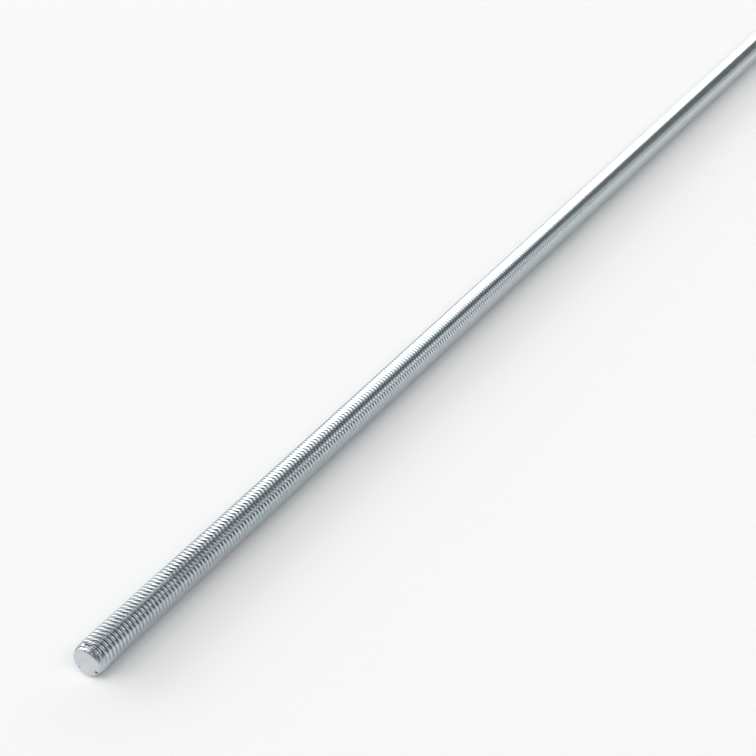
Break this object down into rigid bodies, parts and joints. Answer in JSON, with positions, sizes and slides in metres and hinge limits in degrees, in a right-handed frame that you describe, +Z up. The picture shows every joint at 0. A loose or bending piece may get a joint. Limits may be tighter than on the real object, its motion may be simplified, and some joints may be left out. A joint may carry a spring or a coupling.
{
  "type": "threaded rod",
  "caption": "Straight, fully threaded steel rod with flat, slightly bevelled ends, the near one with a sheared flat on its rim, bright zinc-plated; takes nuts anywhere along its length.",
  "frame": {"origin": "centre of the near end face, on the rod's axis", "axes": "+X along the rod from the near end to the far end, +Z up as the rod lies"},
  "size_m": [1, 0.008, 0.008],
  "materials": {
    "zinc_plated_steel": "bright zinc plating with a faint blue-green passivation, glossy"
  },
  "bodies": {
    "root": {"threaded_rod": "zinc_plated_steel"}
  },
  "joints": []
}
